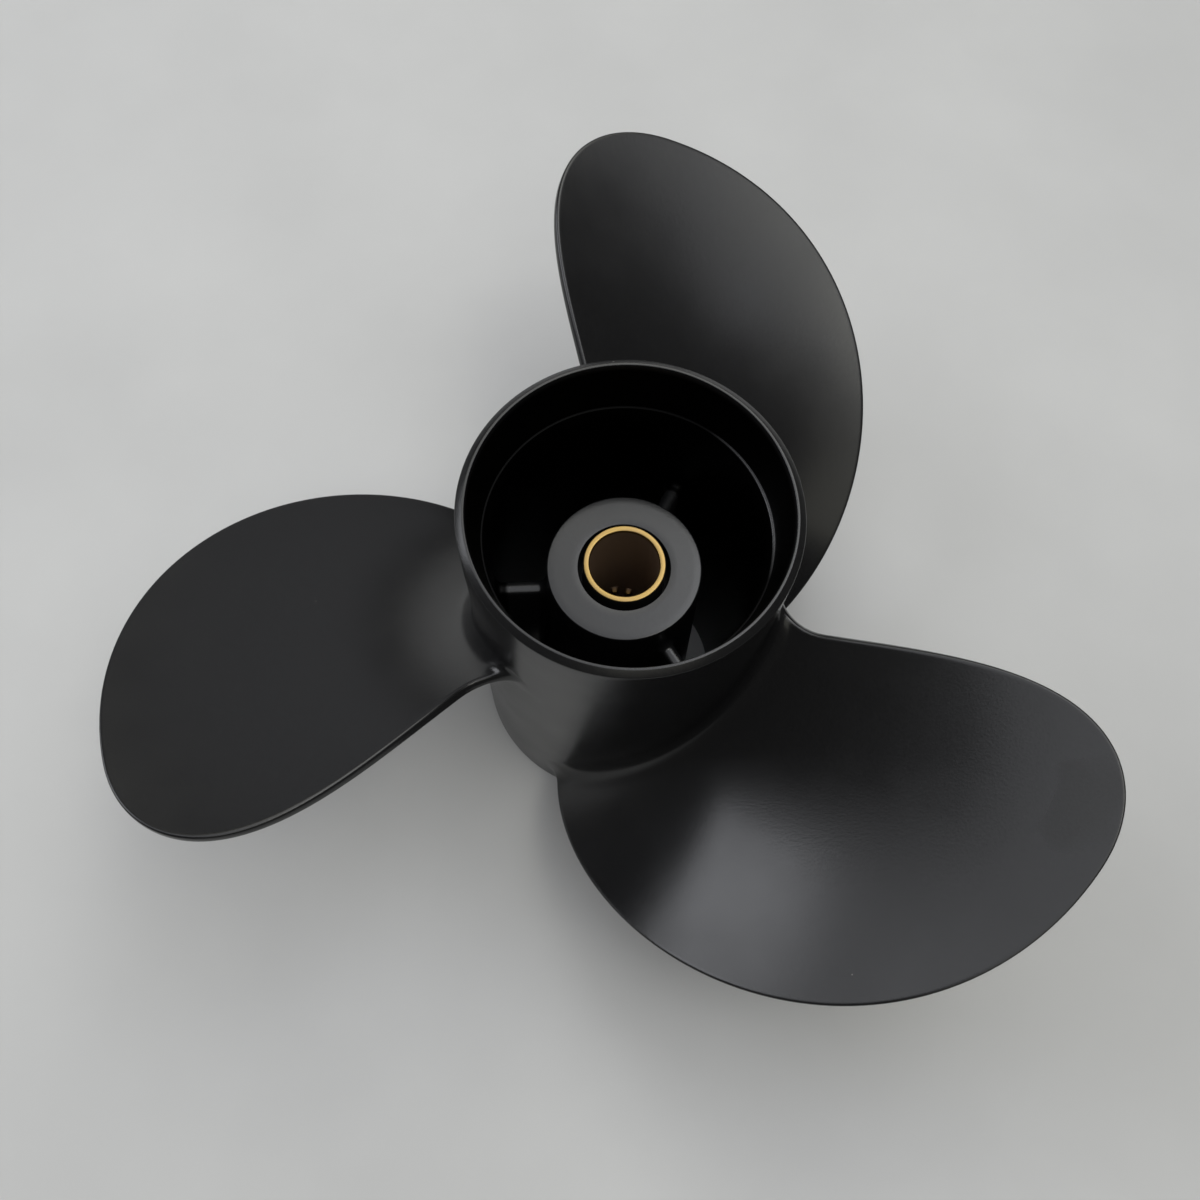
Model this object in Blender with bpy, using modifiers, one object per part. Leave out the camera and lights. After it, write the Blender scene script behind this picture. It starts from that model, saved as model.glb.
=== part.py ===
"""Three-blade outboard boat propeller with exhaust through its hub.

The propeller is modelled as it lies on its forward end, with +Z along the shaft
towards the stern.  Lengths in the constants are millimetres and angles are degrees;
heights are measured from the forward end of the barrel.  The frame's origin is on
the shaft axis at the balance point.
"""
import math

import bmesh
import bpy

MM = 0.001
FIT_GAP = 0.3                     # left between pieces that touch on the real propeller
BALANCE_HEIGHT = 62.0             # the balance point above the forward end

# Barrel: the outer exhaust tube, with a flared ring at its aft end
BARREL_LENGTH = 135.5
BARREL_RADIUS = 44.3
RING_RADIUS = 44.5
RING_LENGTH = 14.5                # the ring stands this far down the barrel from its aft end
RING_STEP = 0.4                   # height over which the ring runs out to the barrel
LIP_ROUND = 1.8                   # outer corner of the lip
MOUTH_RADIUS = 42.0               # inside of the lip
THROAT_RADIUS = 38.5              # inside wall where the flare of the mouth begins
THROAT_DEPTH = 16.0               # below the aft end
INLET_RADIUS = 34.8               # inside wall at the forward end
INLET_ROUND = 0.8

# Inner hub: the tube that carries the bush
HUB_FACE_HEIGHT = 97.4
HUB_FOOT_HEIGHT = 8.0
HUB_FACE_RADIUS = 22.1
HUB_FOOT_RADIUS = 25.0
HUB_CORNER = 0.5
HUB_MOUTH_RADIUS = 13.5           # hole in the aft face
HUB_MOUTH_DEPTH = 8.5             # length of the narrow lip behind the aft face
BUSH_SEAT_RADIUS = 16.6

# Ribs between the hub and the barrel
RIB_COUNT = 3
RIB_ANGLE = -50.5                 # first rib, counter-clockwise from +X seen from astern
RIB_THICKNESS = 4.2
RIB_TOP_HEIGHT = 85.0
RIB_FOOT_HEIGHT = 9.0

# Rubber bush, bonded in the hub and to the sleeve
BUSH_TOP_HEIGHT = 88.0
BUSH_FOOT_HEIGHT = 14.0
BUSH_CORNER = 1.0

# Brass sleeve with splines for the propeller shaft
SLEEVE_RADIUS = 11.7
SLEEVE_BORE = 9.9
SLEEVE_TOP_HEIGHT = 100.0
SLEEVE_FOOT_HEIGHT = 10.0
SLEEVE_CORNER = 0.4
SPLINE_COUNT = 13
SPLINE_TIP_RADIUS = 8.4
SPLINE_TOP_HEIGHT = 57.5
SPLINE_FOOT_HEIGHT = 22.0
SPLINE_RUN_IN = 0.8
SPLINE_TIP_SHARE = 0.30           # share of the spline pitch on the tooth's tip
SPLINE_ROOT_SHARE = 0.42          # share of the spline pitch on the gap's floor

# Blades: a helical working face with rake, and a rounded outline
BLADE_COUNT = 3
TIP_RADIUS = 145.4
TIP_ANGLE = -29.3                 # first blade's tip, seen from astern
PITCH = 290.0                     # advance in one turn
FACE_RADIUS = 88.6                # the face is placed at this radius ...
FACE_ANGLE = -50.0                # ... and at this angle ...
FACE_HEIGHT = 76.8                # ... by this height
RAKE_SLOPE = 0.274                # the face leans aft as it goes outwards
RAKE_CURVE = 0.0003               # and leans a little more towards the tip, per mm
PITCH_LOSS = 0.001                # share by which the pitch falls per mm of radius
FACE_CURVE = 0.0004                # mm per degree squared by which the face bends forward
LEADING_SWEEP = (78.8, -30.6, 34.3, -2.3)    # degrees before the tip, see edge_angle
TRAILING_SWEEP = (45.8, -30.5, 5.3, -7.1)    # degrees behind the tip
EDGE_THICKNESS = 2.8
ROOT_THICKNESS = 7.4
TIP_THICKNESS = 3.0
ROOT_FILLET = 7.0
TIP_CLOSE = 0.45                  # the last section's chord and thickness against the one before
BLADE_SECTIONS = 20
CHORD_STATIONS = 11

TURN_STEPS = 72
SAME_POINT = 0.001                # closer points than this are one point


def clear_scene():
    for old in list(bpy.data.objects):
        bpy.data.objects.remove(old, do_unlink=True)


def make_collection(name):
    collection = bpy.data.collections.new(name)
    bpy.context.scene.collection.children.link(collection)
    return collection


def make_material(name, colour, roughness, metallic):
    material = bpy.data.materials.new(name)
    material.use_nodes = True
    shader = material.node_tree.nodes["Principled BSDF"]
    shader.inputs["Base Color"].default_value = (*colour, 1.0)
    shader.inputs["Roughness"].default_value = roughness
    shader.inputs["Metallic"].default_value = metallic
    material.diffuse_color = (*colour, 1.0)
    return material


def polar(radius, angle_deg, height):
    """A point in metres from a radius, an angle and a height in millimetres."""
    angle = math.radians(angle_deg)
    return (radius * math.cos(angle) * MM, radius * math.sin(angle) * MM, height * MM)


def add_mesh_object(name, points, edges, faces, material, crease_deg=35.0):
    mesh = bpy.data.meshes.new(name)
    mesh.from_pydata(points, edges, faces)
    mesh.update()
    mesh.shade_smooth()
    mesh.set_sharp_from_angle(angle=math.radians(crease_deg))
    piece = bpy.data.objects.new(name, mesh)
    piece.data.materials.append(material)
    parts.objects.link(piece)
    piece.parent = forward_end
    return piece


def turned_piece(name, outline, material):
    """A ring turned about the shaft axis.

    The outline is a closed loop of (radius, height), first down the outer side.
    """
    points = [polar(radius, 0.0, height) for radius, height in outline]
    count = len(points)
    edges = [(i, (i + 1) % count) for i in range(count)]
    piece = add_mesh_object(name, points, edges, [], material)
    screw = piece.modifiers.new("turn", "SCREW")
    screw.axis = "Z"
    screw.angle = math.tau
    screw.steps = TURN_STEPS
    screw.render_steps = TURN_STEPS
    screw.use_merge_vertices = True
    screw.merge_threshold = 0.00002
    screw.use_smooth_shade = True
    return piece


def spine(ring):
    """The middle line of a ring whose two sides meet at points 0 and size/2."""
    size = len(ring)
    return [
        tuple((one + other) / 2 for one, other in zip(ring[i], ring[(size - i) % size]))
        for i in range(size)
    ]


def lofted_piece(name, rings, material, closed_path=False):
    """A skin through rings of equal point count.

    An open path starts and ends with a spine, whose two sides are joined to close it.
    """
    size = len(rings[0])
    points = [point for ring in rings for point in ring]
    spans = len(rings) if closed_path else len(rings) - 1
    faces = []
    for span in range(spans):
        low = span * size
        high = ((span + 1) % len(rings)) * size
        for i in range(size):
            j = (i + 1) % size
            faces.append((low + i, low + j, high + j, high + i))
    piece = add_mesh_object(name, points, [], faces, material)
    shape = bmesh.new()
    shape.from_mesh(piece.data)
    bmesh.ops.remove_doubles(shape, verts=shape.verts, dist=SAME_POINT * MM)
    bmesh.ops.recalc_face_normals(shape, faces=shape.faces)
    shape.to_mesh(piece.data)
    shape.free()
    return piece


def hub_radius(height):
    share = (height - HUB_FOOT_HEIGHT) / (HUB_FACE_HEIGHT - HUB_FOOT_HEIGHT)
    return HUB_FOOT_RADIUS + share * (HUB_FACE_RADIUS - HUB_FOOT_RADIUS)


def barrel_wall_radius(height):
    """Inside of the barrel, forward of its flared mouth."""
    share = height / (BARREL_LENGTH - THROAT_DEPTH)
    return INLET_RADIUS + share * (THROAT_RADIUS - INLET_RADIUS)


def build_barrel(material):
    top = BARREL_LENGTH
    step = top - RING_LENGTH
    lip = []
    for k in range(4):
        angle = math.radians(90.0 - 30.0 * k)
        lip.append((
            RING_RADIUS - LIP_ROUND * (1.0 - math.cos(angle)),
            top - LIP_ROUND * (1.0 - math.sin(angle)),
        ))
    outline = lip + [
        (RING_RADIUS, step + RING_STEP),
        (BARREL_RADIUS, step),
        (BARREL_RADIUS, INLET_ROUND),
        (BARREL_RADIUS - INLET_ROUND, 0.0),
        (INLET_RADIUS + INLET_ROUND, 0.0),
        (barrel_wall_radius(INLET_ROUND), INLET_ROUND),
        (THROAT_RADIUS, top - THROAT_DEPTH),
        (MOUTH_RADIUS, top - INLET_ROUND),
        (MOUTH_RADIUS + INLET_ROUND / 2, top),
    ]
    return turned_piece("barrel", outline, material)


def build_inner_hub(material):
    seat_end = HUB_FACE_HEIGHT - HUB_MOUTH_DEPTH
    outline = [
        (HUB_FACE_RADIUS - HUB_CORNER, HUB_FACE_HEIGHT),
        (HUB_FACE_RADIUS, HUB_FACE_HEIGHT - HUB_CORNER),
        (HUB_FOOT_RADIUS, HUB_FOOT_HEIGHT),
        (BUSH_SEAT_RADIUS, HUB_FOOT_HEIGHT),
        (BUSH_SEAT_RADIUS, seat_end),
        (HUB_MOUTH_RADIUS, seat_end),
        (HUB_MOUTH_RADIUS, HUB_FACE_HEIGHT - HUB_CORNER),
        (HUB_MOUTH_RADIUS + HUB_CORNER, HUB_FACE_HEIGHT),
    ]
    return turned_piece("inner_hub", outline, material)


def build_rib(number, material):
    """A rib between hub and barrel with round edges fore and aft."""
    half = RIB_THICKNESS / 2
    outline = []
    for end, turn in ((RIB_TOP_HEIGHT - half, 0.0), (RIB_FOOT_HEIGHT + half, 180.0)):
        for k in range(5):
            angle = math.radians(turn + 45.0 * k)
            outline.append((half * math.cos(angle), end + half * math.sin(angle)))

    def section(radius_at, gap):
        return [(radius_at(height) + gap, side, height) for side, height in outline]

    turn = math.radians(RIB_ANGLE + number * 360.0 / RIB_COUNT)
    foot = section(hub_radius, FIT_GAP)
    head = section(barrel_wall_radius, -FIT_GAP - 0.1)
    rings = []
    for ring in (spine(foot), foot, head, spine(head)):
        rings.append([
            (
                (out * math.cos(turn) - side * math.sin(turn)) * MM,
                (out * math.sin(turn) + side * math.cos(turn)) * MM,
                height * MM,
            )
            for out, side, height in ring
        ])
    return lofted_piece(f"rib_{number + 1}", rings, material)


def build_bush(material):
    outer = BUSH_SEAT_RADIUS - FIT_GAP
    inner = SLEEVE_RADIUS + FIT_GAP
    outline = [
        (outer - BUSH_CORNER, BUSH_TOP_HEIGHT),
        (outer, BUSH_TOP_HEIGHT - BUSH_CORNER),
        (outer, BUSH_FOOT_HEIGHT + BUSH_CORNER),
        (outer - BUSH_CORNER, BUSH_FOOT_HEIGHT),
        (inner, BUSH_FOOT_HEIGHT),
        (inner, BUSH_TOP_HEIGHT),
    ]
    return turned_piece("rubber_bush", outline, material)


def spline_angles():
    """Angles round the sleeve, with True where the point is on a tooth's tip.

    The photo shows a gap between two teeth at the far wall, on the +Y side.
    """
    pitch = 360.0 / SPLINE_COUNT
    tip = pitch * SPLINE_TIP_SHARE / 2
    root = pitch * (1.0 - SPLINE_ROOT_SHARE) / 2
    angles = []
    for tooth in range(SPLINE_COUNT):
        centre = 90.0 + (tooth + 0.5) * pitch
        angles += [
            (centre - root, False),
            (centre - tip, True),
            (centre + tip, True),
            (centre + root, False),
        ]
    return angles


def build_sleeve(material):
    angles = spline_angles()

    def plain(radius, height):
        return [polar(radius, angle, height) for angle, _ in angles]

    def toothed(height):
        return [
            polar(SPLINE_TIP_RADIUS if is_tip else SLEEVE_BORE, angle, height)
            for angle, is_tip in angles
        ]

    top, foot, corner = SLEEVE_TOP_HEIGHT, SLEEVE_FOOT_HEIGHT, SLEEVE_CORNER
    rings = [
        plain(SLEEVE_RADIUS - corner, top),
        plain(SLEEVE_RADIUS, top - corner),
        plain(SLEEVE_RADIUS, foot + corner),
        plain(SLEEVE_RADIUS - corner, foot),
        plain(SLEEVE_BORE + corner, foot),
        plain(SLEEVE_BORE, foot + corner),
        plain(SLEEVE_BORE, SPLINE_FOOT_HEIGHT - SPLINE_RUN_IN),
        toothed(SPLINE_FOOT_HEIGHT),
        toothed(SPLINE_TOP_HEIGHT - SPLINE_RUN_IN),
        plain(SLEEVE_BORE, SPLINE_TOP_HEIGHT),
        plain(SLEEVE_BORE, top - corner),
        plain(SLEEVE_BORE + corner, top),
    ]
    return lofted_piece("brass_sleeve", rings, material, closed_path=True)


def edge_angle(radius, sweep):
    """Angle between the tip and a blade edge: 0 at the tip, most at the root.

    It is a polynomial of the square root of the distance from the tip, which
    makes the outline round where it passes over the tip.
    """
    inwards = math.sqrt(max(0.0, TIP_RADIUS - radius) / (TIP_RADIUS - RING_RADIUS))
    return sum(term * inwards ** (power + 1) for power, term in enumerate(sweep))


def face_height(radius, angle):
    """Height of the blade's aft working face."""
    outwards = radius - FACE_RADIUS
    onwards = angle - FACE_ANGLE
    rake = RAKE_SLOPE * outwards + RAKE_CURVE * outwards**2
    advance = PITCH / 360.0 * (1.0 - PITCH_LOSS * outwards) * onwards
    return FACE_HEIGHT + rake + advance - FACE_CURVE * onwards**2


def blade_section(radius, fillet, shrink=1.0):
    """One cylindrical cut through the first blade, as a ring of points.

    Along the chord the section is a flat aft face and a crowned forward face with
    round edges.  The fillet thickens it where it meets the barrel.
    """
    lead = TIP_ANGLE - edge_angle(radius, LEADING_SWEEP)
    trail = TIP_ANGLE + edge_angle(radius, TRAILING_SWEEP)
    middle = (lead + trail) / 2
    slope = math.atan2(PITCH, math.tau * radius)
    chord = math.radians(trail - lead) * radius / math.cos(slope) * shrink + 2 * fillet
    out_share = (radius - RING_RADIUS) / (TIP_RADIUS - RING_RADIUS)
    crown = ROOT_THICKNESS + (TIP_THICKNESS - ROOT_THICKNESS) * out_share
    edge = EDGE_THICKNESS * shrink / 2 + fillet
    crown = max(crown * shrink + 2 * fillet, 2 * edge)

    along = [0.0, 0.3 * edge, edge]
    body = chord - 2 * edge
    along += [edge + body * k / (CHORD_STATIONS + 1) for k in range(1, CHORD_STATIONS + 1)]
    along += [chord - edge, chord - 0.3 * edge, chord]

    aft, forward = [], []
    for x in along:
        to_end = min(x, chord - x)
        if to_end < edge:
            half = math.sqrt(edge**2 - (edge - to_end) ** 2)
            aft.append((x, fillet - edge + half))
            forward.append((x, fillet - edge - half))
        else:
            bulge = math.sin(math.pi * (x - edge) / body)
            aft.append((x, fillet))
            forward.append((x, fillet - 2 * edge - (crown - 2 * edge) * bulge))

    ring = aft + forward[-2:0:-1]
    points = []
    for x, rise in ring:
        on_face = middle + math.degrees((x - chord / 2) * math.cos(slope) / radius)
        angle = on_face - math.degrees(rise * math.sin(slope) / radius)
        height = face_height(radius, on_face) + rise * math.cos(slope)
        points.append((radius, angle, height))
    return points


def root_fillet(radius, root):
    """Extra half thickness of the blade near the barrel, a quarter round."""
    rise = radius - root
    if rise >= ROOT_FILLET:
        return 0.0
    return ROOT_FILLET - math.sqrt(ROOT_FILLET**2 - (ROOT_FILLET - rise) ** 2)


def build_blade(number, material):
    root = RING_RADIUS + FIT_GAP + 0.1
    turn = number * 360.0 / BLADE_COUNT
    radii = [root + ROOT_FILLET * share for share in (0.0, 0.15, 0.4)]
    start = root + ROOT_FILLET
    for k in range(BLADE_SECTIONS):
        share = math.sin(math.pi / 2 * k / BLADE_SECTIONS)
        radii.append(start + (TIP_RADIUS - start) * share)
    sections = [blade_section(radius, root_fillet(radius, root)) for radius in radii]
    tip = blade_section(radii[-1], 0.0, TIP_CLOSE)
    sections.append([(TIP_RADIUS, angle, height) for _, angle, height in tip])
    sections = [spine(sections[0])] + sections + [spine(sections[-1])]
    rings = [
        [polar(radius, angle + turn, height) for radius, angle, height in section]
        for section in sections
    ]
    return lofted_piece(f"blade_{number + 1}", rings, material)


clear_scene()
parts = make_collection("outboard_propeller")
forward_end = bpy.data.objects.new("forward_end", None)
forward_end.location.z = -BALANCE_HEIGHT * MM
parts.objects.link(forward_end)

black_paint = make_material("black_paint", (0.035, 0.035, 0.038), 0.42, 0.0)
black_rubber = make_material("black_rubber", (0.012, 0.012, 0.012), 0.75, 0.0)
brass = make_material("brass", (0.72, 0.54, 0.24), 0.28, 1.0)

build_barrel(black_paint)
build_inner_hub(black_paint)
for rib in range(RIB_COUNT):
    build_rib(rib, black_paint)
for blade in range(BLADE_COUNT):
    build_blade(blade, black_paint)
build_bush(black_rubber)
build_sleeve(brass)
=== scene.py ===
# %% [markdown]
# A propeller for an outboard motor, standing on the forward end of its barrel.
#
# The real one is a single aluminium casting under satin black paint: three blades on a
# barrel that the exhaust leaves through, and an inner hub held by three ribs.  A rubber
# bush is bonded into the hub, and a splined brass sleeve into the bush.
#
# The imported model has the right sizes, but it is faceted and cut into plain pieces.  This
# lesson keeps its frame and casts the propeller again as one fine mesh, with the roots of
# the blades flowing into the barrel as they do on a casting.

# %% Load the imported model
import math

import bmesh
import bpy
import numpy as np
from mathutils import Matrix, Vector


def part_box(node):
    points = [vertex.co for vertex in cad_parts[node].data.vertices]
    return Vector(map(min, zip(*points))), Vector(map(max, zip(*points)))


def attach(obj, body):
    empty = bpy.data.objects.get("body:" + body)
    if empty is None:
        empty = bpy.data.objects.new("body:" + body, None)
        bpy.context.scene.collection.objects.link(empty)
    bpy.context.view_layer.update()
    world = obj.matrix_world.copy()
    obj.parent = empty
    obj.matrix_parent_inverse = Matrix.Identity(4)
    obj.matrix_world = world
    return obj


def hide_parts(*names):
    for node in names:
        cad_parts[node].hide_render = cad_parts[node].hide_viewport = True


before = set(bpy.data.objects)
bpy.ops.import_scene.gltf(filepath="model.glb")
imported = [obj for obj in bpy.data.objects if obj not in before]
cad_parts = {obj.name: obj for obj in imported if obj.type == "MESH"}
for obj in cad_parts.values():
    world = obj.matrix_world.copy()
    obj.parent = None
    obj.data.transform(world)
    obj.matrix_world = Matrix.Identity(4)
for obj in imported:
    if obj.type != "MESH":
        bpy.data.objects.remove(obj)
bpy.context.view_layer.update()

print("nodes:", ", ".join(sorted(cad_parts)))

# %% [markdown]
# Sizes are easiest to think about as a machinist would write them: millimetres, measured
# up from the forward end that stands on the table.  Blender works in metres, and the
# frame's origin is higher up, at the balance point.  Two small helpers change from one to
# the other, so that no other line has to.

# %% Millimetres and heights
MM = 0.001
FORWARD_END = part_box("barrel")[0].z


def place(across, along, height):
    """A point in metres from millimetres, with the height taken from the forward end."""
    return Vector((across * MM, along * MM, height * MM + FORWARD_END))


def polar(radius, angle, height):
    """The same from a radius and an angle in degrees round the shaft axis."""
    turn = math.radians(angle)
    return place(radius * math.cos(turn), radius * math.sin(turn), height)


print(f"the forward end is at z = {FORWARD_END * 1000:.1f} mm")

# %% [markdown]
# The camera stands close above the propeller and looks steeply down, turned a little.
# Its place was worked out from the ellipses of the rim, the hub and the bore, which are
# all true circles, and from the three blades, which are all alike.  A short lens close up
# makes the near rim look larger than the forward end, so both lens and distance matter.

# %% Camera
CAMERA_PLACE = (0.0, -123.2, 387.85)
CAMERA_TURN = (21.121, -1.421, 6.569)
LENS = 33.39
SENSOR_WIDTH = 36.0
NEAREST_SEEN = 0.01

camera_data = bpy.data.cameras.new("camera")
camera_data.lens = LENS
camera_data.sensor_width = SENSOR_WIDTH
camera_data.clip_start = NEAREST_SEEN
camera = bpy.data.objects.new("camera", camera_data)
camera.location = place(*CAMERA_PLACE)
camera.rotation_euler = [math.radians(turn) for turn in CAMERA_TURN]
bpy.context.scene.collection.objects.link(camera)
bpy.context.scene.camera = camera
print(f"the camera is {camera.location.length * 1000:.0f} mm from the balance point")

# %% [markdown]
# Every turned part starts as a profile: corners in the plane of the axis, each with the
# radius of its rounding.  A lathe leaves no sharp corner and neither does a mould, and it
# is these small rounds that catch the light.  The long straight stretches are divided too,
# because a cut across a very long face would bend the shading along all of it.

# %% Profiles with rounded corners
LONGEST_STEP = 2.6
CORNER_STEPS = 5


def rounded_corner(before, corner, after, rounding):
    """The arc that takes the place of one corner."""
    if rounding == 0.0:
        return [corner]
    back, on = (before - corner).normalized(), (after - corner).normalized()
    opening = back.angle(on)
    start = corner + back * (rounding / math.tan(opening / 2))
    centre = corner + (back + on).normalized() * (rounding / math.sin(opening / 2))
    side = 1.0 if back.x * on.y - back.y * on.x < 0.0 else -1.0
    arc = []
    for k in range(CORNER_STEPS + 1):
        spoke = start - centre
        spoke.rotate(Matrix.Rotation(side * (math.pi - opening) * k / CORNER_STEPS, 2))
        arc.append(centre + spoke)
    return arc


def profile(corners):
    """A closed outline of (radius, height) from corners of (radius, height, rounding)."""
    spots = [Vector(corner[:2]) for corner in corners]
    line = []
    for k, corner in enumerate(corners):
        after = spots[(k + 1) % len(spots)]
        line += rounded_corner(spots[k - 1], spots[k], after, corner[2])
    divided = []
    for k, spot in enumerate(line):
        onwards = line[(k + 1) % len(line)] - spot
        parts = max(1, math.ceil(onwards.length / LONGEST_STEP))
        divided += [spot + onwards * part / parts for part in range(parts)]
    return divided


print(f"a straight stretch over {LONGEST_STEP} mm is divided")

# %% [markdown]
# A profile becomes a turned part by spinning it once round the axis.  Blender's spin tool
# does what a lathe does: it copies the profile in small steps and joins each copy to the
# next.  192 steps put the facets of the barrel 1.5 mm apart, too fine to see on its edge.

# %% Turning
TURN_STEPS = 192
CREASE = math.radians(32.0)
SAME_POINT = 0.002


def finished_object(name, shape, same_point=SAME_POINT):
    """An object from a bmesh, smooth apart from its real edges."""
    bmesh.ops.remove_doubles(shape, verts=shape.verts, dist=same_point * MM)
    bmesh.ops.recalc_face_normals(shape, faces=shape.faces)
    mesh = bpy.data.meshes.new(name)
    shape.to_mesh(mesh)
    shape.free()
    mesh.shade_smooth()
    mesh.set_sharp_from_angle(angle=CREASE)
    piece = bpy.data.objects.new(name, mesh)
    bpy.context.scene.collection.objects.link(piece)
    return piece


def turned(name, corners):
    shape = bmesh.new()
    verts = [shape.verts.new(place(spot.x, 0.0, spot.y)) for spot in profile(corners)]
    edges = [shape.edges.new((vert, verts[k - 1])) for k, vert in enumerate(verts)]
    bmesh.ops.spin(
        shape, geom=verts + edges, cent=(0, 0, 0), axis=(0, 0, 1),
        angle=math.tau, steps=TURN_STEPS, use_merge=True,
    )
    return finished_object(name, shape)


print(f"one step of the lathe is {360 / TURN_STEPS:.2f} degrees")

# %% [markdown]
# The barrel is the outer tube.  At its aft end stands a slightly larger ring, 14.5 mm long,
# which the cutter left when it cleaned up the mouth: its lower edge shows as a hair line.
# Inside, the mouth flares out from a small ledge.  The thin arc seen deep in the dark of the
# barrel is a painted highlight on one stretch of this ledge, where the painted shade of the
# inner wall is left off.  The lip has a narrow flat land, which shines as a line, and slopes
# outwards from there, which makes the rest of it darker.

# %% Barrel
BARREL_LENGTH = 135.5
BARREL_RADIUS = 44.3
RING_RADIUS = 44.5
RING_FOOT = 121.0
GROOVE_RADIUS = 44.05
GROOVE_WIDTH = 0.35
LIP_DROP = 1.3
LIP_LAND = 0.7
MOUTH_RADIUS = 42.0
THROAT_HEIGHT = 119.5
THROAT_RADIUS = 38.3
LEDGE_WIDTH = 0.75
INLET_RADIUS = 34.8


def barrel_wall_radius(height):
    """Inside of the barrel below the ledge: it narrows towards the forward end."""
    return INLET_RADIUS + (THROAT_RADIUS - INLET_RADIUS) * height / THROAT_HEIGHT


barrel = turned("barrel_casting", [
    (MOUTH_RADIUS + LIP_LAND, BARREL_LENGTH, 0.3),
    (RING_RADIUS, BARREL_LENGTH - LIP_DROP, 0.5),
    (RING_RADIUS, RING_FOOT, 0.0),
    (GROOVE_RADIUS, RING_FOOT, 0.0),
    (GROOVE_RADIUS, RING_FOOT - GROOVE_WIDTH, 0.0),
    (BARREL_RADIUS, RING_FOOT - GROOVE_WIDTH, 0.0),
    (BARREL_RADIUS, 0.0, 0.8),
    (INLET_RADIUS, 0.0, 0.8),
    (THROAT_RADIUS, THROAT_HEIGHT, 0.5),
    (THROAT_RADIUS + LEDGE_WIDTH, THROAT_HEIGHT, 0.15),
    (MOUTH_RADIUS, BARREL_LENGTH, 0.25),
])
print(f"barrel: {2 * RING_RADIUS:.0f} mm across, {len(barrel.data.polygons)} faces")

# %% [markdown]
# The inner hub is a second tube inside the first.  Its aft face is machined flat and its
# hole is narrow there, with a wider seat for the bush behind it.

# %% Inner hub
HUB_FACE = 97.4
HUB_FOOT = 8.0
HUB_FACE_RADIUS = 22.1
HUB_FOOT_RADIUS = 25.0
HUB_MOUTH_RADIUS = 13.1
BUSH_SEAT_RADIUS = 16.6
BUSH_SEAT_END = 88.9


def hub_radius(height):
    share = (height - HUB_FOOT) / (HUB_FACE - HUB_FOOT)
    return HUB_FOOT_RADIUS + share * (HUB_FACE_RADIUS - HUB_FOOT_RADIUS)


hub = turned("hub_casting", [
    (HUB_FACE_RADIUS, HUB_FACE, 0.5),
    (HUB_FOOT_RADIUS, HUB_FOOT, 0.8),
    (BUSH_SEAT_RADIUS, HUB_FOOT, 0.5),
    (BUSH_SEAT_RADIUS, BUSH_SEAT_END, 0.0),
    (HUB_MOUTH_RADIUS, BUSH_SEAT_END, 0.3),
    (HUB_MOUTH_RADIUS, HUB_FACE, 0.25),
])
print(f"hub: its face is {BARREL_LENGTH - HUB_FACE:.1f} mm below the lip")

# %% [markdown]
# Ribs and blades are not turned.  They are lofts: a skin drawn over a row of rings that
# all have the same number of points.  Each end of a loft is closed by a ladder of small
# faces between the ring's two sides, so that even a strongly curved ring closes cleanly.
#
# Where a casting's parts meet, metal flows into the corner as a fillet.  A quarter circle
# gives both how far the fillet stands out and how high above the wall it does so.  Its
# steps are even in angle, which makes it leave the wall along the wall itself.

# %% Lofts and fillets
FILLET_STEPS = 9


def fillet_steps(radius):
    """Pairs of (rise above the wall, how far the fillet stands out there)."""
    pairs = []
    for k in range(FILLET_STEPS + 1):
        turn = math.pi / 2 * k / FILLET_STEPS
        pairs.append((radius * (1.0 - math.cos(turn)), radius * (1.0 - math.sin(turn))))
    return pairs


def fillet_at(rise, radius):
    """How far a fillet stands out at a rise above the wall."""
    short = radius - max(0.0, min(rise, radius))
    return radius - math.sqrt(radius**2 - short**2)


def loft(name, rings):
    """A skin over rings whose two sides meet at point 0 and at the middle point."""
    shape = bmesh.new()
    rows = [[shape.verts.new(spot) for spot in ring] for ring in rings]
    size = len(rows[0])
    for low, high in zip(rows, rows[1:]):
        for i in range(size):
            j = (i + 1) % size
            shape.faces.new((low[i], low[j], high[j], high[i]))
    for row in (rows[0], rows[-1]):
        for i in range(size // 2):
            far_i, far_j = (size - i) % size, size - i - 1
            step = [row[i], row[i + 1], row[far_j], row[far_i]]
            shape.faces.new(list(dict.fromkeys(step)))
    return finished_object(name, shape)


print(f"a fillet of 7 mm stands out {fillet_at(1.0, 7.0):.1f} mm where it is 1 mm up the wall")

# %% [markdown]
# Three ribs carry the hub.  Each is a flat web with bulging edges fore and aft; seen from
# astern only its aft edge shows, as a short bright bar.  Its rings follow the hub's wall
# at one end and the barrel's at the other, and reach a little into both.

# %% Ribs
RIB_COUNT = 3
RIB_ANGLE = -50.5
RIB_THICKNESS = 4.2
RIB_TOP = 85.0
RIB_FOOT = 9.0
RIB_FILLET = 2.2
RIB_EDGE_STEPS = 8
RIB_EDGE_BULGE = 0.55
INTO_THE_WALL = 1.0


def rib_outline(extra):
    """Points of (sideways, height) round the rib's edge, grown by the fillet."""
    half = RIB_THICKNESS / 2
    bulge = half * RIB_EDGE_BULGE
    outline = []
    for centre, turn in ((RIB_TOP - bulge, 0.0), (RIB_FOOT + bulge, math.pi)):
        for k in range(RIB_EDGE_STEPS + 1):
            angle = turn + math.pi * k / RIB_EDGE_STEPS
            side = (half + extra) * math.cos(angle)
            outline.append((side, centre + (bulge + extra) * math.sin(angle)))
    return outline


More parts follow.
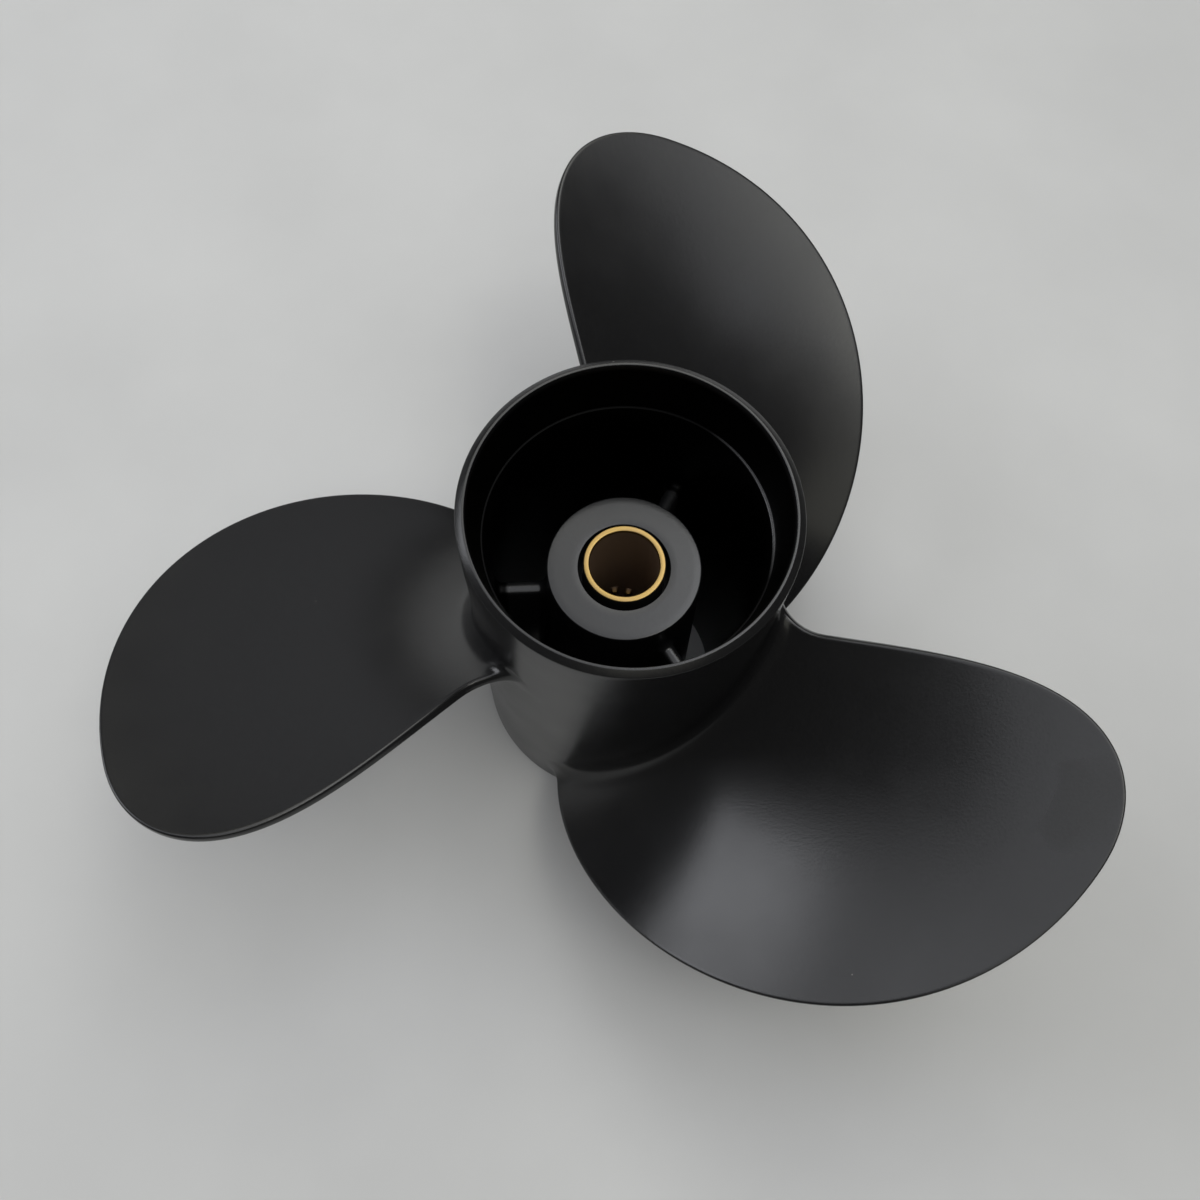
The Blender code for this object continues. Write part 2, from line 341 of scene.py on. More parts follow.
def rib_rings(wall_radius, outwards):
    """Rings from inside a wall to the end of the fillet on it."""
    rings = []
    for rise, extra in [(-INTO_THE_WALL, RIB_FILLET)] + fillet_steps(RIB_FILLET):
        ring = []
        for side, height in rib_outline(extra):
            radius = wall_radius(height) + outwards * rise
            ring.append(place(math.sqrt(radius**2 - side**2), side, height))
        rings.append(ring)
    return rings


def rib(number):
    rings = rib_rings(hub_radius, 1.0) + rib_rings(barrel_wall_radius, -1.0)[::-1]
    piece = loft(f"rib_casting_{number + 1}", rings)
    turn = math.radians(RIB_ANGLE + number * 360.0 / RIB_COUNT)
    piece.data.transform(Matrix.Rotation(turn, 4, "Z"))
    return piece


ribs = [rib(number) for number in range(RIB_COUNT)]
print(f"{len(ribs)} ribs, {RIB_THICKNESS} mm thick")

# %% [markdown]
# A blade's working face is part of a screw thread: along a circle round the axis it climbs
# by a fixed pitch.  It also rakes, leaning aft as it goes outwards.  So the height of the
# face is a formula of radius and angle, and nothing has to be drawn.

# %% The working face of a blade
PITCH = 290.0
FACE_RADIUS = 88.6
FACE_ANGLE = -50.0
FACE_HEIGHT = 76.8
RAKE_SLOPE = 0.274
RAKE_CURVE = 0.0003
PITCH_LOSS = 0.001
FACE_CURVE = 0.0004


def face_height(radius, angle):
    outwards = radius - FACE_RADIUS
    onwards = angle - FACE_ANGLE
    rake = RAKE_SLOPE * outwards + RAKE_CURVE * outwards**2
    advance = PITCH / 360.0 * (1.0 - PITCH_LOSS * outwards) * onwards
    return FACE_HEIGHT + rake + advance - FACE_CURVE * onwards**2


print(f"in one turn the thread climbs {PITCH:.0f} mm")

# %% [markdown]
# The outline of the blade is given by how many degrees its leading and trailing edges lie
# before and behind the tip at each radius.  A polynomial of the square root of the
# distance from the tip makes the outline pass over the tip as a round curve.

# %% The outline of a blade
TIP_RADIUS = 145.4
TIP_ANGLE = -29.3
LEADING_SWEEP = (78.8, -30.6, 34.3, -2.3)
TRAILING_SWEEP = (45.8, -30.5, 5.3, -7.1)


def edge_angle(radius, sweep):
    inwards = math.sqrt(max(0.0, TIP_RADIUS - radius) / (TIP_RADIUS - RING_RADIUS))
    return sum(term * inwards ** (power + 1) for power, term in enumerate(sweep))


def chord_at(radius):
    """Leading edge's angle, chord along the helix, and degrees per mm along it."""
    lead = TIP_ANGLE - edge_angle(radius, LEADING_SWEEP)
    trail = TIP_ANGLE + edge_angle(radius, TRAILING_SWEEP)
    slope = math.atan2(PITCH, math.tau * radius)
    degrees_per_mm = math.degrees(math.cos(slope) / radius)
    return lead, (trail - lead) / degrees_per_mm, degrees_per_mm


print(f"100 mm from the axis a blade is {chord_at(100.0)[1]:.0f} mm wide")

# %% [markdown]
# At its root the blade spreads.  The fillet on its two sides is 7 mm, the leading edge
# runs in with a small one, and the trailing edge ends in a long tail that bends round the
# barrel and fades into it.  The side fillet dies away towards both ends of the root, so
# that the tail narrows to a point beside the ring.

# %% How a blade grows out of the barrel
SIDE_FILLET = 7.0
LEAD_FILLET = 5.0
TAIL_FILLET = 15.0
TAIL_DROOP = 5.0
FILLET_FADE = 9.0


def station(radius, x):
    """A point of the working face, x mm behind the leading edge at that radius."""
    lead, chord, degrees_per_mm = chord_at(radius)
    angle = lead + x * degrees_per_mm
    past = max(0.0, x - chord) / TAIL_FILLET
    return angle, face_height(radius, angle) - TAIL_DROOP * past**2


def chord_span(radius):
    """Where the section starts and ends along the chord, fillets included."""
    rise = radius - BARREL_RADIUS
    chord = chord_at(radius)[1]
    return -fillet_at(rise, LEAD_FILLET), chord + fillet_at(rise, TAIL_FILLET)


root_start, root_end = chord_span(BARREL_RADIUS)
print(f"the root of a blade is {root_end - root_start:.0f} mm long, fillets included")

# %% [markdown]
# The edge of a cast blade has one form all the way along it.  To get that at the tip too,
# where the outline runs across the sections, the edge is not shaped by the section but by
# the true distance to the nearest point of the outline.

# %% Distance to the outline
BLADE_SECTIONS = 72
CHORD_STATIONS = 84
OUTLINE_POINTS = 400
NOT_ZERO = 1e-18


def section_radii(count):
    """Radii from the barrel to the tip: the root fillet's own, then closer and closer."""
    radii = [BARREL_RADIUS + rise for rise, _ in fillet_steps(SIDE_FILLET)]
    start = radii.pop()
    for k in range(count + 1):
        radii.append(start + (TIP_RADIUS - start) * math.sin(math.pi / 2 * k / count))
    return radii


def outline_points():
    edges = [[], []]
    for radius in section_radii(OUTLINE_POINTS):
        for edge, x in zip(edges, chord_span(radius)):
            angle, height = station(radius, x)
            edge.append(polar(radius, angle, height))
    return np.array(edges[0] + edges[1][::-1])


def distance_to_line(spots, line):
    """Shortest distance in mm from each spot to a polyline."""
    start, run = line[:-1], np.diff(line, axis=0)
    length = np.maximum((run**2).sum(1), NOT_ZERO)
    nearest = []
    for spot in spots:
        share = np.clip(((spot - start) * run).sum(1) / length, 0.0, 1.0)
        gap = start + share[:, None] * run - spot
        nearest.append(math.sqrt((gap**2).sum(1).min()) / MM)
    return nearest


print(f"the outline has {len(outline_points())} points")

# %% [markdown]
# Each section lies on a cylinder round the axis.  Its aft side is the working face and its
# forward side bulges, thick in the middle and thin at the edges.  The edge itself is almost
# square, with rounded corners, which shows as a dark band with a fine bright line over it.
# Stations crowd towards both ends of the chord, where the edge needs them.

# %% One section of a blade
EDGE_ROUND = 1.4
EDGE_SQUARENESS = 3.5
ROOT_THICKNESS = 7.4
TIP_THICKNESS = 3.0


def section_faces(x, distance, radius):
    """Heights of the aft and the forward side over the working face at one station."""
    chord = chord_at(radius)[1]
    first, last = chord_span(radius)
    share_out = (radius - RING_RADIUS) / (TIP_RADIUS - RING_RADIUS)
    crown = ROOT_THICKNESS + (TIP_THICKNESS - ROOT_THICKNESS) * share_out - 2 * EDGE_ROUND
    bulge = crown * math.sin(math.pi * min(1.0, max(0.0, x / chord)))
    short = 1.0 - min(distance / EDGE_ROUND, 1.0)
    half = EDGE_ROUND * (1.0 - short**EDGE_SQUARENESS) ** (1.0 / EDGE_SQUARENESS)
    to_end = min(x - first, last - x)
    fade = math.sin(math.pi / 2 * min(1.0, to_end / FILLET_FADE))
    fillet = fillet_at(radius - BARREL_RADIUS, SIDE_FILLET) * fade
    return half - EDGE_ROUND + fillet, -EDGE_ROUND - half - bulge - fillet


def section(radius, outline):
    first, last = chord_span(radius)
    slope = math.atan2(PITCH, math.tau * radius)
    xs, spots = [], []
    for k in range(CHORD_STATIONS + 1):
        xs.append(first + (last - first) * (1.0 - math.cos(math.pi * k / CHORD_STATIONS)) / 2)
        spots.append(polar(radius, *station(radius, xs[-1])))
    sides = ([], [])
    for x, distance in zip(xs, distance_to_line(np.array(spots), outline)):
        angle, height = station(radius, x)
        for side, rise in zip(sides, section_faces(x, distance, radius)):
            turned_back = math.degrees(rise * math.sin(slope) / radius)
            side.append((angle - turned_back, height + rise * math.cos(slope)))
    return sides[0] + sides[1][-2:0:-1]


print(f"the edge of a blade is {2 * EDGE_ROUND:.1f} mm thick, its root {ROOT_THICKNESS:.1f} mm")

# %% [markdown]
# The three blades are one pattern, turned by a third of a turn each time.  The first ring
# is repeated 1.5 mm deep in the barrel's wall, so that the joint lies inside the metal.  The
# last radius is left out: the section there is a single point, which can't be closed.

# %% Blades
BLADE_COUNT = 3
ROOT_DEPTH = 1.5

outline = outline_points()
radii = section_radii(BLADE_SECTIONS)[:-1]
sections = [section(radius, outline) for radius in radii]
radii.insert(0, BARREL_RADIUS - ROOT_DEPTH)
sections.insert(0, sections[0])


def blade(number):
    turn = number * 360.0 / BLADE_COUNT
    rings = [
        [polar(radius, angle + turn, height) for angle, height in points]
        for radius, points in zip(radii, sections)
    ]
    return loft(f"blade_casting_{number + 1}", rings)


blades = [blade(number) for number in range(BLADE_COUNT)]
print(f"{len(blades)} blades, {2 * TIP_RADIUS:.0f} mm across the tips")

# %% [markdown]
# Metal does not know about our pieces.  A boolean union makes one closed skin of them all,
# with nothing left inside the walls, the way the mould was filled in one pour.  Where two
# skins cross, the cut leaves points very close together.  They are kept apart, because
# merging them would fold the skin.

# %% One casting
SAME_CUT_POINT = 0.0001


def fused(name, body, others):
    """One closed mesh from a body and the pieces that run into it."""
    group = bpy.data.collections.new("pieces_to_fuse")
    bpy.context.scene.collection.children.link(group)
    for piece in others:
        bpy.context.scene.collection.objects.unlink(piece)
        group.objects.link(piece)
    union = body.modifiers.new("union", "BOOLEAN")
    union.operation = "UNION"
    union.operand_type = "COLLECTION"
    union.collection = group
    union.solver = "EXACT"
    bpy.context.view_layer.update()
    seen = body.evaluated_get(bpy.context.evaluated_depsgraph_get())
    shape = bmesh.new()
    shape.from_mesh(seen.to_mesh())
    seen.to_mesh_clear()
    for piece in [body, *others]:
        bpy.data.objects.remove(piece)
    bpy.data.collections.remove(group)
    return finished_object(name, shape, same_point=SAME_CUT_POINT)


casting = fused("propeller_casting", barrel, [hub, *ribs, *blades])
print(f"casting: {len(casting.data.vertices)} points, {len(casting.data.polygons)} faces")

# %% [markdown]
# The brass sleeve is a tube with thirteen splines cut inside it, for the propeller shaft.
# They start deep in the bore, so from astern only the bright ends of a few show, one on
# each side of a gap at the far wall.  The sleeve's skin is the turned profile again, but
# every ring bends inwards where a tooth stands.

# %% Brass sleeve
SLEEVE_RADIUS = 11.7
SLEEVE_BORE = 9.9
SLEEVE_TOP = 100.0
SLEEVE_FOOT = 10.0
SPLINE_COUNT = 13
SPLINE_TIP_RADIUS = 8.4
SPLINE_TOP = 57.5
SPLINE_FOOT = 21.2
SPLINE_RUN_IN = 0.8
SPLINE_TIP_SHARE = 0.30
SPLINE_ROOT_SHARE = 0.42
TOOTH_POINTS = 18
GAP_ANGLE = 90.0
BORE_MARGIN = 0.01


def tooth_height(angle):
    """1 on a tooth's tip, 0 on the floor between teeth, and a slope between them."""
    pitch = 360.0 / SPLINE_COUNT
    from_centre = abs((angle - GAP_ANGLE) % pitch - pitch / 2)
    tip = pitch * SPLINE_TIP_SHARE / 2
    root = pitch * (1.0 - SPLINE_ROOT_SHARE) / 2
    return min(1.0, max(0.0, (root - from_centre) / (root - tip)))


def spline_share(radius, height):
    """How much of the tooth stands at this height of the bore."""
    if radius > SLEEVE_BORE + BORE_MARGIN:
        return 0.0
    to_end = min(SPLINE_TOP - height, height - SPLINE_FOOT)
    return min(1.0, max(0.0, to_end / SPLINE_RUN_IN))


def sleeve():
    corners = [
        (SLEEVE_RADIUS, SLEEVE_TOP, 0.35),
        (SLEEVE_RADIUS, SLEEVE_FOOT, 0.4),
        (SLEEVE_BORE, SLEEVE_FOOT, 0.4),
        (SLEEVE_BORE, SPLINE_FOOT, 0.0),
        (SLEEVE_BORE, SPLINE_FOOT + SPLINE_RUN_IN, 0.0),
        (SLEEVE_BORE, SPLINE_TOP - SPLINE_RUN_IN, 0.0),
        (SLEEVE_BORE, SPLINE_TOP, 0.0),
        (SLEEVE_BORE, SLEEVE_TOP, 0.45),
    ]
    count = SPLINE_COUNT * TOOTH_POINTS
    shape = bmesh.new()
    rows = []
    for spot in profile(corners):
        share = spline_share(spot.x, spot.y) * (SLEEVE_BORE - SPLINE_TIP_RADIUS)
        row = []
        for k in range(count):
            angle = 360.0 * k / count
            radius = spot.x - share * tooth_height(angle)
            row.append(shape.verts.new(polar(radius, angle, spot.y)))
        rows.append(row)
    for k, row in enumerate(rows):
        for i in range(count):
            shape.faces.new((rows[k - 1][i], rows[k - 1][i - 1], row[i - 1], row[i]))
    return finished_object("brass_sleeve_turned", shape)


brass_sleeve = sleeve()
print(f"sleeve: {SPLINE_COUNT} splines in a bore of {2 * SLEEVE_BORE:.1f} mm")

# %% [markdown]
# The rubber bush slips if a blade hits the ground.  Only its ends show, as a dark ring
# round the sleeve.  Rubber shrinks as it cures, so the ends are slightly hollow.

# %% Rubber bush
BUSH_TOP = 88.0
BUSH_FOOT = 14.0
BUSH_HOLLOW = 0.9
SNUG = 0.05

bush_middle = (BUSH_SEAT_RADIUS + SLEEVE_RADIUS) / 2
bush = turned("rubber_bush_moulded", [
    (BUSH_SEAT_RADIUS - SNUG, BUSH_TOP, 0.5),
    (BUSH_SEAT_RADIUS - SNUG, BUSH_FOOT, 0.5),
    (bush_middle, BUSH_FOOT + BUSH_HOLLOW, 2.0),
    (SLEEVE_RADIUS + SNUG, BUSH_FOOT, 0.3),
    (SLEEVE_RADIUS + SNUG, BUSH_TOP, 0.3),
    (bush_middle, BUSH_TOP - BUSH_HOLLOW, 2.0),
])
print(f"bush: {BUSH_TOP - BUSH_FOOT:.0f} mm long")

# %% [markdown]
# Materials are made of nodes, worked out at every point of the surface from its place in
# the object.  A small helper adds a node and joins it up, so that a recipe reads as a list.

# %% Node helpers
def new_material(name):
    material = bpy.data.materials.new(name)
    material.use_nodes = True
    return material, material.node_tree.nodes["Principled BSDF"]


def add_node(material, kind, inputs=(), **settings):
    """A node of one kind, with its inputs given as values or as other nodes' outputs."""
    node = material.node_tree.nodes.new(kind)
    for name, value in settings.items():
        setattr(node, name, value)
    for name, value in dict(inputs).items():
        if isinstance(value, bpy.types.NodeSocket):
            material.node_tree.links.new(value, node.inputs[name])
        else:
            node.inputs[name].default_value = value
    return node


def object_place(material):
    return add_node(material, "ShaderNodeTexCoord").outputs["Object"]


def from_axis(material, spot):
    """Distance from the shaft axis, and height, of the point being shaded."""
    parts = add_node(material, "ShaderNodeSeparateXYZ", {"Vector": spot})
    flat = add_node(material, "ShaderNodeCombineXYZ", {
        "X": parts.outputs["X"], "Y": parts.outputs["Y"],
    })
    inputs = {0: flat.outputs["Vector"]}
    length = add_node(material, "ShaderNodeVectorMath", inputs, operation="LENGTH")
    return length.outputs["Value"], parts.outputs["Z"]


def from_point(material, spot, point):
    """Distance from one fixed point."""
    inputs = {0: spot, 1: point}
    node = add_node(material, "ShaderNodeVectorMath", inputs, operation="DISTANCE")
    return node.outputs["Value"]


def noise(material, vector, size_mm, detail):
    """Soft noise whose spots are about size_mm across."""
    inputs = {"Vector": vector, "Scale": 1.0 / (size_mm * MM), "Detail": detail}
    return add_node(material, "ShaderNodeTexNoise", inputs).outputs["Fac"]


def spread(material, value, low, high, start=0.3, end=0.7):
    """The value between start and end, stretched to run from low to high."""
    inputs = {"Value": value, "From Min": start, "From Max": end, "To Min": low, "To Max": high}
    return add_node(material, "ShaderNodeMapRange", inputs).outputs["Result"]


def mixed(material, share, low, high):
    """A number between two others: low where share is 0, high where it is 1."""
    inputs = {"Factor": share, "A": low, "B": high}
    return add_node(material, "ShaderNodeMix", inputs, data_type="FLOAT").outputs["Result"]


def worked_out(material, operation, one, other):
    """Two numbers made into one by ADD, MULTIPLY or MAXIMUM."""
    inputs = {0: one, 1: other}
    return add_node(material, "ShaderNodeMath", inputs, operation=operation).outputs["Value"]


def blend(material, share, low, high):
    """A colour between two others."""
    node = add_node(material, "ShaderNodeMix", {"Factor": share}, data_type="RGBA")
    colour_sockets = [socket for socket in node.inputs if socket.type == "RGBA"]
    for socket, colour in zip(colour_sockets, (low, high)):
        if isinstance(colour, bpy.types.NodeSocket):
            material.node_tree.links.new(colour, socket)
        else:
            socket.default_value = colour
    return next(socket for socket in node.outputs if socket.type == "RGBA")


def join(material, output, shader, socket):
    material.node_tree.links.new(output, shader.inputs[socket])


def roughened(material, shader, height, strength, depth_mm):
    """Small bumps on the surface, from a pattern of heights."""
    inputs = {"Height": height, "Strength": strength, "Distance": depth_mm * MM}
    bump = add_node(material, "ShaderNodeBump", inputs)
    join(material, bump.outputs["Normal"], shader, "Normal")


# %% [markdown]
# The paint is a satin black enamel, darker than it looks: nearly all the grey on it is the
# room, mirrored softly.  It follows the skin of the sand casting, so a fine grain breaks up
# every highlight, and its sheen changes a little from place to place.
#
# Inside the barrel the wall carries painted shade: its colour is darkened and it is treated as a
# metal that mirrors almost nothing, so that it stays as dark as the shaded hollow.  Only one
# stretch of the ledge, on one side, is left out of it, as a painted highlight.  Two more marks
# come from use.  A few grains of dust lie on the paint, and a dull patch near the tip of one
# blade shows where the gloss is gone.

# %% Black paint
PAINT_DARK = (0.0070, 0.0070, 0.0075, 1.0)
PAINT_PALE = (0.0105, 0.0105, 0.0112, 1.0)
PAINT_SHEEN = (0.22, 0.27)
GRAIN_SIZE = 0.7
GRAIN_DEPTH = 0.04
GRAIN_STRENGTH = 0.45
CLOUD_SIZE = 18.0

# Painted shade: the barrel's inner wall is darkened and made a metal that mirrors almost nothing.
PAINTED_SHADE_COLOUR = (0.0045, 0.0045, 0.0045, 1.0)
PAINTED_SHADE_SHEEN = 0.40
PAINTED_SHADE_START = 33.4
# Painted highlight: where on the ledge a stretch is left out of the painted shade.
HIGHLIGHT_ANGLE = 24.0
HIGHLIGHT_REACH = (12.0, 24.0)

DUST_COLOUR = (0.30, 0.29, 0.27, 1.0)
DUST_SHEEN = 0.8
DUST_SPACING = 11.0
DUST_RADIUS = 0.16
DUST_RARITY = 0.62

SMUDGE_SHEEN = 0.36
SMUDGE_ANGLE = -24.5
SMUDGE_RADIUS = 134.0
SMUDGE_REACH = (8.0, 11.0)
SMUDGE_RAGGED = 5.0
SMUDGE_RAGS = 14.0


def dust(material, spot):
    """1 on a few small specks and 0 elsewhere: most cells of the pattern stay empty."""
    cells = add_node(material, "ShaderNodeTexVoronoi", {
        "Vector": spot, "Scale": 1.0 / (DUST_SPACING * MM), "Randomness": 1.0,
    })
    size = DUST_RADIUS / DUST_SPACING
    away = cells.outputs["Distance"]
    speck = spread(material, away, 1.0, 0.0, start=0.6 * size, end=1.6 * size)
    chosen = spread(
        material, cells.outputs["Color"], 0.0, 1.0, start=DUST_RARITY, end=DUST_RARITY + 0.04,
    )
    return worked_out(material, "MULTIPLY", speck, chosen)


def smudge(material, spot):
    """1 inside a patch on the first blade's face, with a ragged edge."""
    middle = polar(SMUDGE_RADIUS, SMUDGE_ANGLE, face_height(SMUDGE_RADIUS, SMUDGE_ANGLE))
    rags = noise(material, spot, SMUDGE_RAGS, 1.0)
    wobble = spread(material, rags, -SMUDGE_RAGGED * MM, SMUDGE_RAGGED * MM)
    away = worked_out(material, "ADD", from_point(material, spot, middle), wobble)
    near, far = SMUDGE_REACH
    return spread(material, away, 1.0, 0.0, start=near * MM, end=far * MM)


def inside_barrel(material, spot):
    """Where the painted shade goes: 1 on the barrel's inner wall, 0 on the hub, most of the ribs,
    the lip and outside.
    """
    radius = from_axis(material, spot)[0]
    past_hub = spread(
        material, radius, 0.0, 1.0, start=PAINTED_SHADE_START * MM, end=(PAINTED_SHADE_START + 1.0) * MM,
    )
    short_of_lip = spread(
        material, radius, 1.0, 0.0, start=(MOUTH_RADIUS - 0.4) * MM, end=(MOUTH_RADIUS - 0.1) * MM,
    )
    return worked_out(material, "MULTIPLY", past_hub, short_of_lip)


# The painted highlight on the ledge is one stretch, on one side, kept free of the painted shade.
def ledge_outside_highlight(material, spot):
    """0 on the stretch of the ledge that keeps a painted highlight, 1 everywhere else."""
    middle = polar(THROAT_RADIUS, HIGHLIGHT_ANGLE, THROAT_HEIGHT)
    away = from_point(material, spot, middle)
    near, far = HIGHLIGHT_REACH
    beyond = spread(material, away, 0.0, 1.0, start=near * MM, end=far * MM)
    height = from_axis(material, spot)[1]
    below = spread(
        material, height, 1.0, 0.0, start=middle.z - 0.5 * MM, end=middle.z - 0.3 * MM,
    )
    above = spread(
        material, height, 0.0, 1.0, start=middle.z + 0.1 * MM, end=middle.z + 0.3 * MM,
    )
    off_ledge = worked_out(material, "MAXIMUM", below, above)
    return worked_out(material, "MAXIMUM", beyond, off_ledge)


def black_paint():
    material, shader = new_material("black_paint")
    spot = object_place(material)
    grain = noise(material, spot, GRAIN_SIZE, 3.0)
    cloud = noise(material, spot, CLOUD_SIZE, 3.0)
    speck = dust(material, spot)
    dull = smudge(material, spot)
    # Painted shade on the barrel's inner wall, left off one stretch of the ledge as a painted
    # highlight.
    wall = inside_barrel(material, spot)
    painted_shade = worked_out(material, "MULTIPLY", wall, ledge_outside_highlight(material, spot))

    shade = blend(material, spread(material, grain, 0.0, 1.0), PAINT_DARK, PAINT_PALE)
    shade = blend(material, painted_shade, shade, PAINTED_SHADE_COLOUR)
    shade = blend(material, speck, shade, DUST_COLOUR)
    join(material, shade, shader, "Base Color")

    sheen = spread(material, cloud, *PAINT_SHEEN)
    sheen = mixed(material, dull, sheen, SMUDGE_SHEEN)
    sheen = mixed(material, painted_shade, sheen, PAINTED_SHADE_SHEEN)
    join(material, mixed(material, speck, sheen, DUST_SHEEN), shader, "Roughness")
    join(material, painted_shade, shader, "Metallic")
    roughened(material, shader, grain, GRAIN_STRENGTH, GRAIN_DEPTH)
    return material


# %% [markdown]
# The sleeve is turned brass.  Its end face is bright, but the bore is filmed with old grease
# and looks brown, apart from the clean ends of the splines.  The tool left fine rings round
# the axis: they follow the distance from the axis plus the height, so one pattern serves the
# end face and the bore alike.  Its outer side is black with rubber from the mould.

# %% Brass
BRASS_BRIGHT = (0.31, 0.21, 0.070, 1.0)
BRASS_FILMED = (0.27, 0.186, 0.125, 1.0)
RUBBER_FILM = (0.012, 0.011, 0.010, 1.0)
BRIGHT_SHEEN = 0.30
FILMED_SHEEN = 0.42
FILMED_METAL = 0.45
STAIN_SIZE = 4.0
RING_SPACING = 0.22
RING_DEPTH = 0.01
RING_STRENGTH = 0.4


def brass():
    material, shader = new_material("turned_brass")
    spot = object_place(material)
    radius, height = from_axis(material, spot)
    face = place(0.0, 0.0, SLEEVE_TOP).z
    near_face = spread(material, height, 0.0, 1.0, start=face - 1.4 * MM, end=face - 0.6 * MM)
    teeth = spread(
        material, radius, 1.0, 0.0,
        start=(SPLINE_TIP_RADIUS + 0.2) * MM, end=(SLEEVE_BORE - 0.1) * MM,
    )
    clean = worked_out(material, "MAXIMUM", near_face, teeth)
    outside = spread(
        material, radius, 0.0, 1.0,
        start=(SLEEVE_RADIUS - 0.12) * MM, end=(SLEEVE_RADIUS - 0.04) * MM,
    )

    stain = spread(material, noise(material, spot, STAIN_SIZE, 4.0), 0.0, 0.25)
    bright = blend(material, stain, BRASS_BRIGHT, BRASS_FILMED)
    colour = blend(material, clean, BRASS_FILMED, bright)
    join(material, blend(material, outside, colour, RUBBER_FILM), shader, "Base Color")
    sheen = mixed(material, clean, FILMED_SHEEN, BRIGHT_SHEEN)
    join(material, sheen, shader, "Roughness")
    metal = mixed(material, clean, FILMED_METAL, 1.0)
    join(material, mixed(material, outside, metal, 0.0), shader, "Metallic")

    along = worked_out(material, "ADD", radius, height)
    rings = add_node(material, "ShaderNodeCombineXYZ", {"X": along})
    marks = noise(material, rings.outputs["Vector"], RING_SPACING, 2.0)
    roughened(material, shader, marks, RING_STRENGTH, RING_DEPTH)
    return material


# %% [markdown]
# Rubber is the dullest black there is here: rough, hardly mirroring, and slightly pitted by
# the mould.

# %% Rubber
RUBBER_DARK = (0.008, 0.008, 0.008, 1.0)
RUBBER_PALE = (0.020, 0.020, 0.019, 1.0)
RUBBER_SHEEN = (0.50, 0.65)
PIT_SIZE = 0.9
PIT_DEPTH = 0.06
PIT_STRENGTH = 0.5


def rubber():
    material, shader = new_material("black_rubber")
    spot = object_place(material)
    pits = noise(material, spot, PIT_SIZE, 3.0)
    shade = blend(material, spread(material, pits, 0.0, 1.0), RUBBER_DARK, RUBBER_PALE)
    join(material, shade, shader, "Base Color")
    join(material, spread(material, pits, *RUBBER_SHEEN), shader, "Roughness")
    roughened(material, shader, pits, PIT_STRENGTH, PIT_DEPTH)
    return material


# %% [markdown]
# Each piece gets its finish, rides on the body of the frame and takes the place of the
# plain pieces that it stands for.

# %% Put the pieces on the frame
def put_on_frame(piece, material, nodes):
    piece.data.materials.clear()
    piece.data.materials.append(material)
    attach(piece, "root")
    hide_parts(*nodes)


cast_nodes = ["barrel", "inner_hub"]
cast_nodes += [f"rib_{number + 1}" for number in range(RIB_COUNT)]
cast_nodes += [f"blade_{number + 1}" for number in range(BLADE_COUNT)]
put_on_frame(casting, black_paint(), cast_nodes)
put_on_frame(brass_sleeve, brass(), ["brass_sleeve"])
put_on_frame(bush, rubber(), ["rubber_bush"])
print(f"{len(cast_nodes)} plain pieces of the frame are one casting here")

# %% [markdown]
# The floor is a large sheet of pale paper.  Paper is never one even tone: very faint clouds
# in it keep the empty part of the picture from looking like a computer's grey.

# %% Floor
FLOOR_SIZE = 3.0
PAPER_DARK = (0.595, 0.595, 0.590, 1.0)
PAPER_PALE = (0.640, 0.640, 0.634, 1.0)
PAPER_SHEEN = 0.9
PAPER_CLOUDS = 90.0


def pale_paper():
    material, shader = new_material("pale_paper")
    spot = object_place(material)
    clouds = spread(material, noise(material, spot, PAPER_CLOUDS, 4.0), 0.0, 1.0)
    join(material, blend(material, clouds, PAPER_DARK, PAPER_PALE), shader, "Base Color")
    shader.inputs["Roughness"].default_value = PAPER_SHEEN
    return material


floor_shape = bmesh.new()
bmesh.ops.create_grid(floor_shape, x_segments=4, y_segments=4, size=FLOOR_SIZE / 2)
floor = finished_object("paper_floor", floor_shape)
floor.location.z = FORWARD_END
floor.data.materials.append(pale_paper())
print(f"the paper is {FLOOR_SIZE:.0f} m wide")

# %% [markdown]
# Black paint shows the room more than itself, so the light is built as a room.  A wide soft
# ceiling gives the flat grey of the hub and the lip, and a window on the left the shine on
# the near blade.  A brighter part of the ceiling, to the right, throws the soft shadows to
# the left, and pale walls give the two far blades their even tone.
#
# Each softbox is given by where it stands, how large it is and how bright its surface is.
# Its power follows from that: pi times brightness times area.

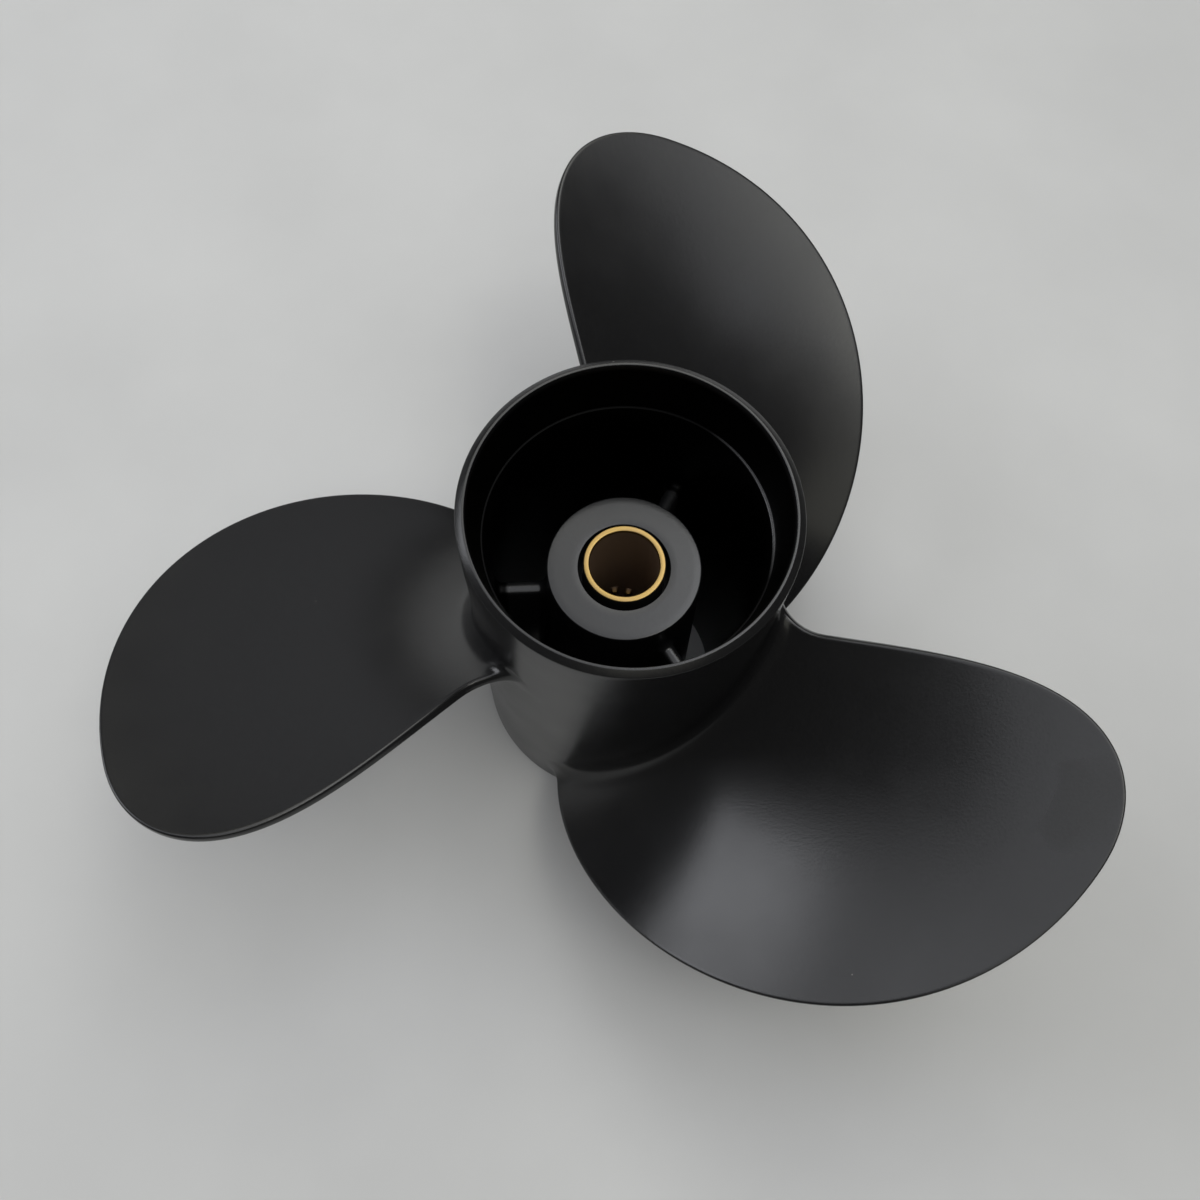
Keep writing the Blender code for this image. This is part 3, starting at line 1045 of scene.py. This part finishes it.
# %% Light
DAYLIGHT = (0.97, 0.99, 1.04)
LAMPLIGHT = (1.02, 1.01, 0.88)
ROOM_COLOUR = (1.0, 0.98, 0.94, 1.0)
ROOM_GLOW = 0.062

# name, azimuth and elevation in degrees, distance, width and height in m, brightness, colour
SOFTBOXES = (
    ("ceiling", 45, 84, 1.5, 1.70, 1.70, 1.30, DAYLIGHT),
    ("lamp_near", 340, 70, 1.8, 0.45, 0.45, 3.80, LAMPLIGHT),
    ("lamp_right", 20, 68, 1.8, 0.45, 0.45, 1.80, LAMPLIGHT),
    ("lamp_far", 60, 68, 1.8, 0.45, 0.45, 2.40, DAYLIGHT),
    ("window", 168, 32, 1.8, 0.85, 1.05, 3.45, DAYLIGHT),
    ("window_top", 172, 56, 1.8, 0.90, 0.50, 0.70, DAYLIGHT),
    ("far_wall", 95, 22, 1.8, 2.20, 1.00, 0.35, DAYLIGHT),
    ("far_wall_top", 90, 55, 1.8, 1.40, 0.60, 1.60, LAMPLIGHT),
    ("near_wall", 290, 50, 1.8, 1.20, 0.80, 0.73, LAMPLIGHT),
)


def softbox(name, azimuth, elevation, distance, width, height, brightness, colour):
    """A rectangular area light that faces the propeller."""
    data = bpy.data.lights.new(name, "AREA")
    data.shape = "RECTANGLE"
    data.size = width
    data.size_y = height
    data.color = colour
    data.energy = math.pi * brightness * width * height
    light = bpy.data.objects.new(name, data)
    flat = math.cos(math.radians(elevation)) * distance
    light.location = (
        flat * math.cos(math.radians(azimuth)),
        flat * math.sin(math.radians(azimuth)),
        math.sin(math.radians(elevation)) * distance,
    )
    light.rotation_euler = light.location.to_track_quat("Z", "Y").to_euler()
    bpy.context.scene.collection.objects.link(light)
    return light


lights = [softbox(*box) for box in SOFTBOXES]
world = bpy.data.worlds.new("room")
world.use_nodes = True
walls = world.node_tree.nodes["Background"]
walls.inputs["Color"].default_value = ROOM_COLOUR
walls.inputs["Strength"].default_value = ROOM_GLOW
bpy.context.scene.world = world
bpy.context.scene.view_settings.view_transform = "Standard"
print(f"{len(lights)} softboxes, {sum(light.data.energy for light in lights):.0f} W in all")
